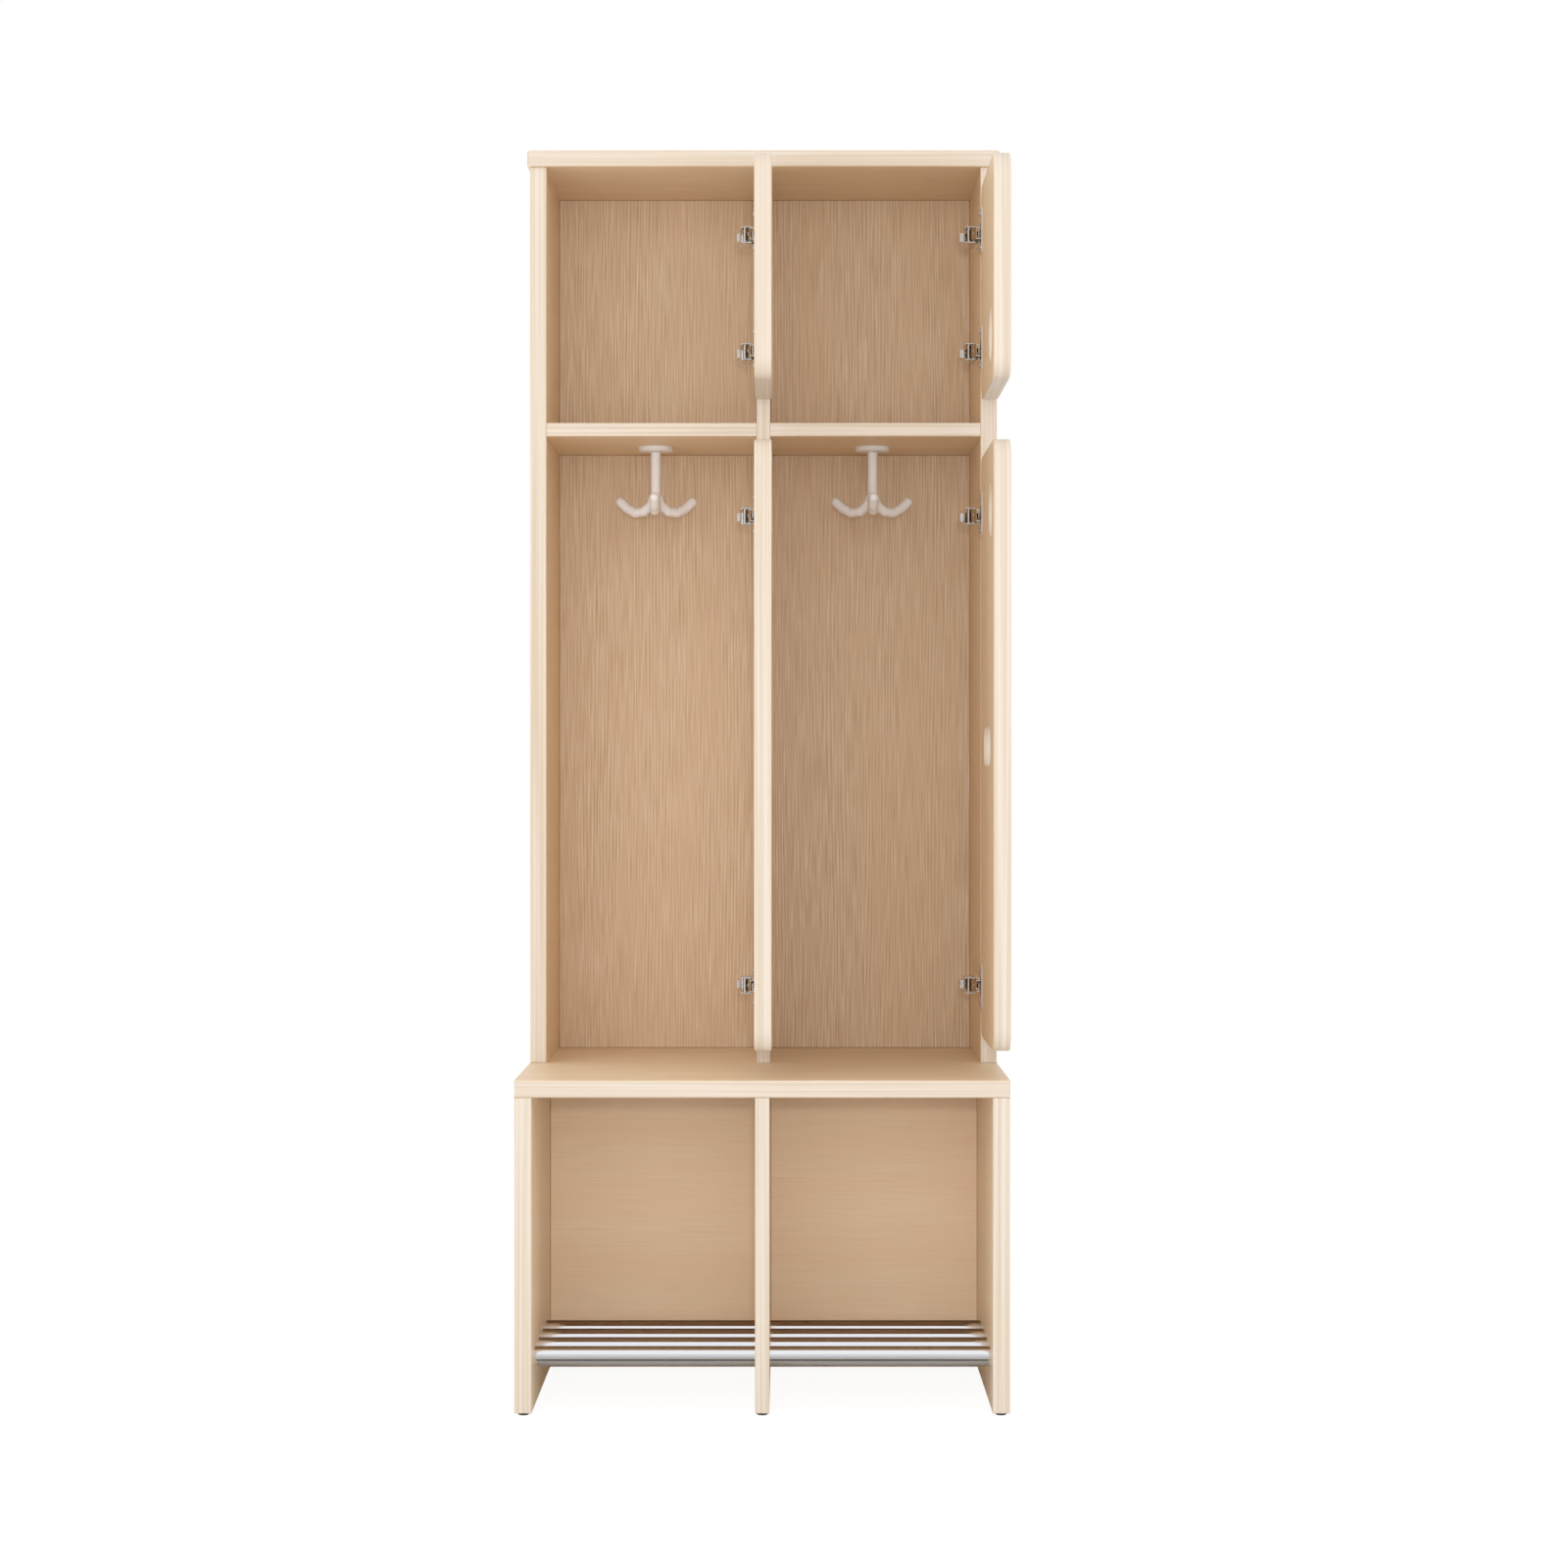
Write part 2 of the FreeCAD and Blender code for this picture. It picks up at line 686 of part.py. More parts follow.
def hook_arm(x, y):
    """One arm, swept down and out from the stem and up to a rounded tip, pointing along +X."""
    centre = Vector(x + hook_low_reach, y, shelf_underside - hook_low_drop + hook_bend_radius)
    first = -math.degrees(math.asin((hook_low_reach - hook_arm_start) / hook_bend_radius))
    stations = []
    for step in range(hook_arc_steps + 1):
        angle = math.radians(first + (hook_tip_angle - first) * step / hook_arc_steps)
        point = centre + Vector(math.sin(angle), 0, -math.cos(angle)) * hook_bend_radius
        stations.append((point, Vector(math.cos(angle), 0, math.sin(angle))))
    last, heading = stations[-1]
    tip = last + heading * ((x + hook_tip_reach - last.x) / heading.x)
    stations.append((tip, heading))
    root = hook_arm_root_diameter / 2
    taper = root - hook_arm_tip_diameter / 2
    last_index = len(stations) - 1
    wires = []
    for index, (point, direction) in enumerate(stations):
        radius = root - taper * (index / last_index) ** 2
        wires.append(Part.Wire(Part.makeCircle(radius, point, direction)))
    arm = Part.makeLoft(wires, True, True)
    return joined([arm, Part.makeSphere(hook_arm_tip_diameter / 2, tip)])


def bolt_solid(x, y, gap):
    """The bolt a hook turns on, with its collar, grown by a gap where it cuts its own hole."""
    head_seat = shelf_top - hook_bolt_head_height
    low = shelf_underside - rosette_thickness - hook_bolt_reach
    shank = rod(hook_bolt_diameter + 2 * gap, Vector(x, y, low), along_z, head_seat - low)
    collar = rod(hook_collar_diameter + 2 * gap, Vector(x, y, low - gap), along_z, hook_collar_height + 2 * gap)
    head = rod(hook_bolt_head_diameter + 2 * gap, Vector(x, y, head_seat), along_z, hook_bolt_head_height)
    return joined([shank, collar, head])


def make_hook(x, y):
    """Stem and arms in one moulding, hollow where the bolt and its collar run."""
    stem_top = shelf_underside - rosette_thickness - swivel_gap
    low = shelf_underside - stem_length
    stem = rod(stem_diameter, Vector(x, y, low), along_z, stem_top - low)
    end = Part.makeSphere(stem_diameter / 2, Vector(x, y, low))
    arms = []
    for index in range(hook_arm_count):
        arm = hook_arm(x, y)
        arm.rotate(Vector(x, y, 0), along_z, -90 + 360 * index / hook_arm_count)
        arms.append(arm)
    return joined([stem, end] + arms).cut(bolt_solid(x, y, hook_bolt_running_gap))


def make_carcass():
    """Every board, each bored for the fittings that enter it."""
    dowels = make_dowels()
    glides = make_glides()
    seats = tube_seats()
    groove = back_groove()
    hook_y = cabinet_front + hook_setback
    bolts = [bolt_solid(side * compartment_centre, hook_y, 0) for side in (-1, 1)]
    plate_screws = {}
    for name, hand in (("left", left_hand), ("right", right_hand)):
        plate_screws[name] = [s for z in upper_hinges + lower_hinges for s in make_plate_screws(hand, z)]

    for name, side in (("left", -1), ("right", 1)):
        inner, outer = sorted((side * side_face, side * outer_face))
        bench_side = upright(inner, outer, bench_front, cabinet_rear, bench_bottom, seat_underside)
        export("bench_side_" + name, bored(bench_side, dowels + glides + seats))
        cabinet_side = upright(inner, outer, cabinet_front, cabinet_rear, seat_top, top_underside)
        hardware = plate_screws["right"] if side > 0 else []
        export("cabinet_side_" + name, bored(cabinet_side, dowels + hardware + [groove]))
        near_x, far_x = sorted((side * divider_face, side * side_face))
        bench_back = block(near_x, far_x, bench_back_front, bench_back_front + inner_board,
                           bench_bottom, seat_underside)
        export("bench_back_" + name, bench_back)
        shelf = block(near_x, far_x, cabinet_front, cabinet_back_front, shelf_underside, shelf_top)
        shelf = rounded(shelf, board_edge_radius, lambda p: near(p.y, cabinet_front))
        export("shelf_" + name, bored(shelf, dowels + bolts))

    bench_divider = upright(-divider_face, divider_face, bench_front, cabinet_rear, bench_bottom, seat_underside)
    export("bench_divider", bored(bench_divider, dowels + glides + seats))
    cabinet_divider = upright(-divider_face, divider_face, cabinet_front, cabinet_back_front, seat_top, top_underside)
    export("cabinet_divider", bored(cabinet_divider, dowels + plate_screws["left"]))
    export("seat_board", bored(make_seat(), dowels + [groove]))
    export("top_board", bored(make_top(), dowels + [groove]))
    export("cabinet_back", make_cabinet_back())
    export("dowels", *dowels)
    export("glides", *glides)
    for number, tube in enumerate(make_shoe_tubes(), 1):
        export("shoe_tube_" + str(number), tube)
    for name, side in (("left", -1), ("right", 1)):
        export("hook_rosette_" + name, make_rosette(side * compartment_centre, hook_y))
        export("hook_" + name, make_hook(side * compartment_centre, hook_y))
    export("hook_bolts", *bolts)


def make_doors():
    """Four doors, each with its cups, links, arms and mounting plates."""
    upper_hole = upper_door_bottom + upper_finger_hole_rise
    lower_hole = lower_door_top - lower_finger_hole_drop
    rows = (("upper", upper_door_bottom, upper_door_top, upper_hinges, upper_hole, False),
            ("lower", lower_door_bottom, lower_door_top, lower_hinges, lower_hole, True))
    plate_screws = []
    arm_screws = []
    for row, bottom, top, hinges, hole_z, slotted in rows:
        for column, hand in (("left", left_hand), ("right", right_hand)):
            name = row + "_" + column
            export("door_" + name, make_door(hand, bottom, top, hinges, hole_z, slotted))
            export("hinge_cups_" + name, *[make_cup(hand, z) for z in hinges])
            export("cup_screws_" + name, *[s for z in hinges for s in make_cup_screws(hand, z)])
            export("hinge_arms_" + name, *[make_arm(hand, z) for z in hinges])
            export("hinge_rivets_" + name, *[r for z in hinges for r in make_rivets(hand, z)])
            export("hinge_plates_" + name, *[make_plate(hand, z) for z in hinges])
            export("outer_links_" + name, *[make_outer_link(hand, z) for z in hinges])
            export("inner_links_" + name, *[make_inner_link(hand, z) for z in hinges])
            plate_screws += [s for z in hinges for s in make_plate_screws(hand, z)]
            arm_screws += [make_arm_screw(hand, z) for z in hinges]
    export("plate_screws", *plate_screws)
    export("arm_screws", *arm_screws)


def print_joints():
    """The axes and ratios that the moving parts turn by."""
    for name, hand in (("left", left_hand), ("right", right_hand)):
        axis = door_axis(hand)
        outer, inner = rivet_centres(hand, 0)
        print(name, "door axis", round(axis.x, 3), round(axis.y, 3))
        for link, rivet, reach in (("outer", outer, outer_cup_reach), ("inner", inner, inner_cup_reach)):
            ratio = link_ratio(hand, rivet, reach)
            print(name, link, "link", round(rivet.x, 3), round(rivet.y, 3), round(ratio, 5))


make_carcass()
make_doors()
print_joints()
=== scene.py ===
import bmesh
import bpy
import math
from mathutils import Matrix, Vector


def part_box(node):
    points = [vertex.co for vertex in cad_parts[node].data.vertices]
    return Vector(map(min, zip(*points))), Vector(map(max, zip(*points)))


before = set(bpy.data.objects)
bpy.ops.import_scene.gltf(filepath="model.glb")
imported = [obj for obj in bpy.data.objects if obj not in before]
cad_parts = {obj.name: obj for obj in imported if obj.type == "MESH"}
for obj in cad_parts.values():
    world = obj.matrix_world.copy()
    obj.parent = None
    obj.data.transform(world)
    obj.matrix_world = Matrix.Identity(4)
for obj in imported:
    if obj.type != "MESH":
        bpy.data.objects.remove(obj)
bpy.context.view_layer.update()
scene = bpy.context.scene
scene.view_settings.view_transform = "Standard"

# The eye stands square to the front, 4.86 m before the cabinet and a little right of its middle.
# Its lens is as long as a portrait lens, so the compartments show only a little of their sides.
eye_place = (0.0275, -4.8605, 0.7978)
sensor_width = 36.0
lens_length = 83.25

camera_data = bpy.data.cameras.new("eye")
camera_data.sensor_width = sensor_width
camera_data.lens = lens_length
camera = bpy.data.objects.new("eye", camera_data)
camera.location = eye_place
camera.rotation_euler = (math.radians(90), 0, 0)
scene.collection.objects.link(camera)
scene.camera = camera


# The studio floor is a sheet of matt white paper that fades into the background.
# To the eye, and in the metal, it is as white as the background, with only the unit's faint shadow on it.
floor_reach = 9.0
paper_white = "#F3F3F3"
paper_glow = 0.92
paper_shade_share = 0.14


def linear(hex_colour):
    """An sRGB hex colour as linear RGBA."""
    shares = [int(hex_colour[i:i + 2], 16) / 255 for i in (1, 3, 5)]
    return tuple(s / 12.92 if s <= 0.04045 else ((s + 0.055) / 1.055) ** 2.4 for s in shares) + (1.0,)


def add(tree, kind, settings=None, links=None):
    """A node in the tree, with its settings, and with links from other nodes' sockets to its inputs."""
    node = tree.nodes.new(kind)
    for name, value in (settings or {}).items():
        if isinstance(name, str) and hasattr(node, name):
            setattr(node, name, value)
        else:
            node.inputs[name].default_value = value
    for name, socket in (links or {}).items():
        tree.links.new(socket, node.inputs[name])
    return node


def new_material(name):
    """An empty material and its tree, for a section to fill."""
    material = bpy.data.materials.new(name)
    material.use_nodes = True
    material.node_tree.nodes.clear()
    return material, material.node_tree


def seen_by_eye(tree):
    """1 for rays from the eye, and for those that come to it by way of metal or glass."""
    rays = add(tree, "ShaderNodeLightPath")
    seen = rays.outputs["Is Camera Ray"]
    for kind in ("Is Glossy Ray", "Is Transmission Ray"):
        either = add(tree, "ShaderNodeMath", {"operation": "MAXIMUM"}, {0: seen, 1: rays.outputs[kind]})
        seen = either.outputs[0]
    return seen


def stage_sheet(name, size, place, turn_degrees, material):
    """A flat sheet of the set, made about its middle, turned about X and put in its place."""
    width, depth = size
    turned = Matrix.Translation(place) @ Matrix.Rotation(math.radians(turn_degrees), 4, "X")
    shape = bmesh.new()
    bmesh.ops.create_grid(shape, x_segments=1, y_segments=1, size=0.5)
    bmesh.ops.scale(shape, vec=(width, depth, 1), verts=shape.verts)
    bmesh.ops.transform(shape, matrix=turned, verts=shape.verts)
    mesh = bpy.data.meshes.new(name)
    shape.to_mesh(mesh)
    shape.free()
    sheet = bpy.data.objects.new(name, mesh)
    scene.collection.objects.link(sheet)
    mesh.materials.append(material)
    return sheet


paper, tree = new_material("matt_paper")
plain = add(tree, "ShaderNodeBsdfDiffuse", {"Color": linear(paper_white)})
seen_shade = add(tree, "ShaderNodeBsdfDiffuse", {"Color": (paper_shade_share,) * 3 + (1.0,)})
seen_glow = add(tree, "ShaderNodeEmission", {"Strength": paper_glow})
seen = add(tree, "ShaderNodeAddShader", {}, {0: seen_shade.outputs[0], 1: seen_glow.outputs[0]})
mixed = add(tree, "ShaderNodeMixShader", {},
            {0: seen_by_eye(tree), 1: plain.outputs[0], 2: seen.outputs[0]})
add(tree, "ShaderNodeOutputMaterial", {}, {"Surface": mixed.outputs[0]})
stage_sheet("paper_floor", (2 * floor_reach, 2 * floor_reach), (0, 0, 0), 0, paper)

# The light is a white tent all round, a small lamp close above the eye that reaches to the backs of the
# compartments, a wide soft lamp behind it and a faint one overhead for the top.
tent_strength = 1.02
backdrop_strength = 1.0
eye_lamp_place = (0.08, -5.0, 1.0)
eye_lamp_size = (0.12, 0.12)
eye_lamp_power = 27.0
front_lamp_place = (-0.6, -5.2, 1.2)
front_lamp_size = (5.0, 3.0)
front_lamp_power = 60.0
top_lamp_place = (-0.9, -1.6, 3.9)
top_lamp_size = (2.4, 2.4)
top_lamp_power = 6.0
aim = (0, 0, 0.85)

world = bpy.data.worlds.new("tent")
scene.world = world
world.use_nodes = True
tree = world.node_tree
tree.nodes.clear()
tent = add(tree, "ShaderNodeBackground", {"Color": (1, 1, 1, 1), "Strength": tent_strength})
backdrop = add(tree, "ShaderNodeBackground", {"Color": (1, 1, 1, 1), "Strength": backdrop_strength})
mixed = add(tree, "ShaderNodeMixShader", {},
            {0: seen_by_eye(tree), 1: tent.outputs[0], 2: backdrop.outputs[0]})
add(tree, "ShaderNodeOutputWorld", {}, {"Surface": mixed.outputs[0]})

for name, place, size, power in (("eye_lamp", eye_lamp_place, eye_lamp_size, eye_lamp_power),
                                 ("front_lamp", front_lamp_place, front_lamp_size, front_lamp_power),
                                 ("top_lamp", top_lamp_place, top_lamp_size, top_lamp_power)):
    lamp_data = bpy.data.lights.new(name, "AREA")
    lamp_data.shape = "RECTANGLE"
    lamp_data.size, lamp_data.size_y = size
    lamp_data.energy = power
    lamp = bpy.data.objects.new(name, lamp_data)
    lamp.location = place
    lamp.rotation_euler = (Vector(aim) - Vector(place)).to_track_quat("-Z", "Y").to_euler()
    lamp.visible_glossy = False
    scene.collection.objects.link(lamp)

# Sheets that only reflections show, never the eye, and that cast no shadow, paint the bands and dark lines on
# the
# tubes: painted reflections. Two light grey ones stand behind the eye, and a grey one lies on the floor with
# a black strip before the tubes, as painted shade on the floor. A brown one hangs under the seat as painted
# shade of its underside, and a brown strip over the top and the rear half of each tube as painted shade
# between the tubes.
eye_cards_y, eye_cards_width = -5.6, 6.0
low_card_painted_reflection, low_card_height, low_card_middle = "#C4C3C5", 1.5, 0.55
high_card_painted_reflection, high_card_height, high_card_middle = "#DBDBDE", 1.9, 2.25
floor_card_painted_shade, floor_card_size, floor_card_place = "#BCBAB6", (1.8, 3.4), (0, -1.3, 0.003)
floor_strip_painted_shade, floor_strip_size, floor_strip_place = "#1E1C1B", (1.8, 0.045), (0, -0.325, 0.005)
bench_span = 0.58
seat_card_painted_shade, seat_card_depth, seat_card_place = "#9D7E60", 0.34, (0, -0.1, 0.398)
tube_strip_painted_shade, tube_strip_depth, tube_strip_lead, tube_strip_rise = "#E6BE93", 0.036, 0.008, 0.0025
flat, upright = 0, 90

cards = []
for name in ("shoe_tube_1", "shoe_tube_2", "shoe_tube_3", "shoe_tube_4"):
    low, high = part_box(name)
    strip_y = (low.y + high.y + tube_strip_depth) / 2 - tube_strip_lead
    cards.append(("strip_over_" + name, tube_strip_painted_shade, (bench_span, tube_strip_depth),
                  (0, strip_y, high.z + tube_strip_rise), flat))
cards.append(("card_low_behind_eye", low_card_painted_reflection, (eye_cards_width, low_card_height),
              (0, eye_cards_y, low_card_middle), upright))
cards.append(("card_high_behind_eye", high_card_painted_reflection, (eye_cards_width, high_card_height),
              (0, eye_cards_y, high_card_middle), upright))
cards.append(("card_on_floor", floor_card_painted_shade, floor_card_size, floor_card_place, flat))
cards.append(("strip_on_floor", floor_strip_painted_shade, floor_strip_size, floor_strip_place, flat))
cards.append(("card_under_seat", seat_card_painted_shade, (bench_span, seat_card_depth), seat_card_place, flat))
# Each sheet's plain colour shows only in reflections: painted reflection, and painted shade where it is dark.
for name, painted_reflection_tone, size, place, turn in cards:
    painted_reflection, tree = new_material("painted_reflection_of_" + name)
    shader = add(tree, "ShaderNodeBsdfDiffuse", {"Color": linear(painted_reflection_tone)})
    add(tree, "ShaderNodeOutputMaterial", {}, {"Surface": shader.outputs[0]})
    card = stage_sheet(name, size, place, turn, painted_reflection)
    card.visible_camera = False
    card.visible_diffuse = False
    card.visible_shadow = False


# The bench: two sides and a divider of light laminated softwood, sawn, sanded and lacquered satin.
# The faces show fine upright growth rings, and the lipped edges four or five pale lines along their length.
# Each pattern has a width across the grain and a run along it; fibres and dashes are coarser than real ones,
# which are too fine to show.
ring_spacing = 0.0045
ring_profile = ((0.16, 0.5), (0.3, 0.0), (0.44, 0.45), (0.7, 0.65), (0.86, 1.0), (0.95, 0.6))
slow_wave_width, slow_wave_run, slow_wave_rings = 0.12, 0.9, 8.0
quick_wave_width, quick_wave_run, quick_wave_rings = 0.03, 0.3, 1.5
own_strength_range, own_strength_least = 0.8, 0.5
fibre_width, fibre_run, fibre_detail = 0.0016, 0.09, 3.0
dash_width, dash_run = 0.0015, 0.07
patch_width, patch_run = 0.035, 0.4
patch_faint, patch_strong, faint_ring_share = 0.35, 0.62, 0.25
cloud_width, cloud_run, cloud_detail = 0.05, 0.6, 2.0
cloud_clear, cloud_blushed, blush_share = 0.4, 0.7, 0.35
noise_middle, noise_roughness = 0.5, 0.55
usual_depth, middle_depth = 0.42, 0.45
lipping_stripe, lipping_run, lipping_detail, lipping_roughness = 0.0034, 0.5, 1.0, 0.5
stripe_dark, stripe_light = 0.35, 0.65
edge_turn, face_turn = 0.55, 0.85
# The dark line along the seams in front is painted shade, where the boards meet.
seam_half_width, seam_shade_strength = 0.0007, 0.65
face_light = "#F0DEC2"
face_middle = "#E8D0AF"
face_dark = "#D4B58E"
face_blush = "#E4C3A3"
# The edges' pale stripes are their own, but their tones are drawn darker than the faces' as painted shade
# against the strong front light on them.
lipping_light_with_painted_shade = "#DCD0C2"
lipping_dark_with_painted_shade = "#D0BFAA"
seam_painted_shade = "#774A26"
lacquer_smoothest, lacquer_roughest = 0.36, 0.5
lacquer_ior, lacquer_specular = 1.5, 0.4
relief_strength, relief_depth, relief_ring_share = 0.1, 0.0003, 0.4
figure_step = (1.37, 2.11, 0.73)


def lacquered_board(name, grain, thickness, number, tones=(face_light, face_middle, face_dark, face_blush),
                    ring_share=0.3, fibre_share=0.9, dash_share=0.7, seams=()):
    """Ring figure along the grain on the faces, pale lines on the edges, and painted shade: a dark line at
    each seam in front.

    The number sets where in the timber the board is cut, so no two boards have the same figure.
    """
    material, tree = new_material(name)
    place = add(tree, "ShaderNodeTexCoord").outputs["Object"]
    normal = add(tree, "ShaderNodeTexCoord").outputs["Normal"]
    along = "XYZ".index(grain)
    flat_axis = "XYZ".index(thickness)
    across = 3 - along - flat_axis
    light_tone, middle_tone, dark_tone, blush_tone = (linear(tone) for tone in tones)
    shift = tuple(number * step for step in figure_step)

    def stretched_noise(width, run, detail=1.0):
        shares = [1.0, 1.0, 1.0]
        shares[along] = width / run
        spot = add(tree, "ShaderNodeMapping", {"Location": shift, "Scale": tuple(shares)}, {"Vector": place})
        return add(tree, "ShaderNodeTexNoise",
                   {"Scale": 1 / width, "Detail": detail, "Roughness": noise_roughness},
                   {"Vector": spot.outputs[0]}).outputs["Fac"]

    def combined(operation, first, second=None, third=None):
        values = {}
        links = {}
        for index, value in enumerate((first, second, third)):
            if isinstance(value, (int, float)):
                values[index] = value
            elif value is not None:
                links[index] = value
        return add(tree, "ShaderNodeMath", {"operation": operation, **values}, links).outputs[0]

    spots = add(tree, "ShaderNodeSeparateXYZ", {}, {"Vector": place})
    sides = add(tree, "ShaderNodeSeparateXYZ", {}, {"Vector": normal})
    fibre = stretched_noise(fibre_width, fibre_run, fibre_detail)
    dashes = stretched_noise(dash_width, dash_run)
    patch = stretched_noise(patch_width, patch_run)
    cloud = stretched_noise(cloud_width, cloud_run, cloud_detail)

    rings = combined("DIVIDE", spots.outputs[across], ring_spacing)
    slow_wave = stretched_noise(slow_wave_width, slow_wave_run)
    quick_wave = stretched_noise(quick_wave_width, quick_wave_run)
    rings = combined("MULTIPLY_ADD", slow_wave, slow_wave_rings, rings)
    rings = combined("MULTIPLY_ADD", quick_wave, quick_wave_rings, rings)
    ring = add(tree, "ShaderNodeValToRGB", {}, {"Fac": combined("FRACT", rings)})
    for element in ring.color_ramp.elements:
        element.color = (0.5, 0.5, 0.5, 1.0)
    for spot, depth in ring_profile:
        ring.color_ramp.elements.new(spot).color = (depth, depth, depth, 1.0)
    late_wood = ring.outputs[0]

    own_strength = add(tree, "ShaderNodeTexWhiteNoise", {"noise_dimensions": "1D"},
                       {"W": combined("FLOOR", rings)}).outputs["Value"]
    own_strength = combined("MULTIPLY_ADD", own_strength, own_strength_range, own_strength_least)
    strength = add(tree, "ShaderNodeMapRange",
                   {"From Min": patch_faint, "From Max": patch_strong,
                    "To Min": faint_ring_share * ring_share, "To Max": ring_share}, {"Value": patch})
    strength = combined("MULTIPLY", strength.outputs[0], own_strength)
    depth = combined("MULTIPLY_ADD", combined("SUBTRACT", late_wood, noise_middle), strength, usual_depth)
    depth = combined("MULTIPLY_ADD", combined("SUBTRACT", fibre, noise_middle), fibre_share, depth)
    depth = combined("MULTIPLY_ADD", combined("SUBTRACT", dashes, noise_middle), dash_share, depth)
    face = add(tree, "ShaderNodeValToRGB", {}, {"Fac": depth})
    ramp = face.color_ramp
    ramp.elements[0].color = light_tone
    ramp.elements[1].color = dark_tone
    ramp.elements.new(middle_depth).color = middle_tone
    blush = add(tree, "ShaderNodeMapRange",
                {"From Min": cloud_clear, "From Max": cloud_blushed, "To Max": blush_share}, {"Value": cloud})
    face_tone = add(tree, "ShaderNodeMix", {"data_type": "RGBA", 7: blush_tone},
                    {0: blush.outputs[0], 6: face.outputs[0]})

    stripe_shares = [lipping_stripe / lipping_run] * 3
    stripe_shares[flat_axis] = 1.0
    stripe_place = add(tree, "ShaderNodeMapping", {"Location": shift, "Scale": tuple(stripe_shares)},
                       {"Vector": place})
    stripes = add(tree, "ShaderNodeTexNoise",
                  {"Scale": 1 / lipping_stripe, "Detail": lipping_detail, "Roughness": lipping_roughness},
                  {"Vector": stripe_place.outputs[0]})
    stripe_depth = add(tree, "ShaderNodeMapRange", {"From Min": stripe_dark, "From Max": stripe_light},
                       {"Value": stripes.outputs["Fac"]})
    # The edge tone is the stripes darkened by painted shade.
    edge_tone = add(tree, "ShaderNodeMix",
                    {"data_type": "RGBA", 6: linear(lipping_dark_with_painted_shade), 7: linear(lipping_light_with_painted_shade)},
                    {0: stripe_depth.outputs[0]})
    on_face = add(tree, "ShaderNodeMapRange", {"From Min": edge_turn, "From Max": face_turn},
                  {"Value": combined("ABSOLUTE", sides.outputs[flat_axis])})
    tone = add(tree, "ShaderNodeMix", {"data_type": "RGBA"},
               {0: on_face.outputs[0], 6: edge_tone.outputs[2], 7: face_tone.outputs[2]})
    nearest = 1.0
    # Painted shade: a dark line along each seam on the front face, where the boards meet.
    for axis, value in seams:
        offset = combined("SUBTRACT", combined("ABSOLUTE", spots.outputs["XYZ".index(axis)]), value)
        nearest = combined("MINIMUM", combined("ABSOLUTE", offset), nearest)
    if seams:
        seam = add(tree, "ShaderNodeMapRange",
                   {"From Min": seam_half_width, "From Max": 2 * seam_half_width,
                    "To Min": seam_shade_strength, "To Max": 0.0}, {"Value": nearest})
        in_front = add(tree, "ShaderNodeMapRange", {"From Min": -edge_turn, "From Max": -face_turn},
                       {"Value": sides.outputs[flat_axis]})
        tone = add(tree, "ShaderNodeMix", {"data_type": "RGBA", 7: linear(seam_painted_shade)},
                   {0: combined("MULTIPLY", seam.outputs[0], in_front.outputs[0]), 6: tone.outputs[2]})

    gloss = add(tree, "ShaderNodeMapRange", {"To Min": lacquer_smoothest, "To Max": lacquer_roughest},
                {"Value": fibre})
    relief = combined("MULTIPLY_ADD", late_wood, relief_ring_share, fibre)
    bump = add(tree, "ShaderNodeBump", {"Strength": relief_strength, "Distance": relief_depth},
               {"Height": relief})
    shader = add(tree, "ShaderNodeBsdfPrincipled",
                 {"IOR": lacquer_ior, "Specular IOR Level": lacquer_specular},
                 {"Base Color": tone.outputs[2], "Roughness": gloss.outputs[0], "Normal": bump.outputs[0]})
    add(tree, "ShaderNodeOutputMaterial", {}, {"Surface": shader.outputs[0]})
    return material


def coat(node_name, material):
    """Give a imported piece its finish."""
    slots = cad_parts[node_name].data.materials
    slots.clear()
    slots.append(material)


# The bench's sides and divider are drawn in lighter tones than the same boards in the cabinet: painted light
# for the shaded inside of the bench.
bench_painted_light_tones = ("#FAEAD1", "#F4DFC0", "#E4C79F", "#F0CFB2")
bench_first_number = 1
for number, name in enumerate(("bench_side_left", "bench_side_right", "bench_divider"),
                              bench_first_number):
    coat(name, lacquered_board("lacquered_" + name, "Z", "X", number, bench_painted_light_tones))

# Each glide is a round foot of black polyethylene, moulded on a steel nail and knocked into a panel.
# The eye sees matt black with the scuffing of a foot, drawn a little coarser than real.
glide_black = "#100F0F"
glide_ior = 1.51
glide_smoothest, glide_roughest = 0.5, 0.7
scuff_width, scuff_detail = 0.0007, 2.0
scuff_strength, scuff_depth = 0.2, 0.0002

polyethylene, tree = new_material("moulded_polyethylene")
place = add(tree, "ShaderNodeTexCoord")
scuffs = add(tree, "ShaderNodeTexNoise", {"Scale": 1 / scuff_width, "Detail": scuff_detail},
             {"Vector": place.outputs["Object"]})
gloss = add(tree, "ShaderNodeMapRange", {"To Min": glide_smoothest, "To Max": glide_roughest},
            {"Value": scuffs.outputs["Fac"]})
bump = add(tree, "ShaderNodeBump", {"Strength": scuff_strength, "Distance": scuff_depth},
           {"Height": scuffs.outputs["Fac"]})
shader = add(tree, "ShaderNodeBsdfPrincipled", {"Base Color": linear(glide_black), "IOR": glide_ior},
             {"Roughness": gloss.outputs[0], "Normal": bump.outputs[0]})
add(tree, "ShaderNodeOutputMaterial", {}, {"Surface": shader.outputs[0]})
coat("glides", polyethylene)

# Four steel tubes lie in bores through the divider. They are ground, polished and chromed, a hard cool mirror
# with the faintest draw lines along the tube, drawn coarser than real ones so that they show at all.
chrome_grey = "#EBECEF"
chrome_smoothest, chrome_roughest = 0.05, 0.12
draw_line_width, draw_line_detail, draw_line_share = 0.0012, 2.0, 0.02

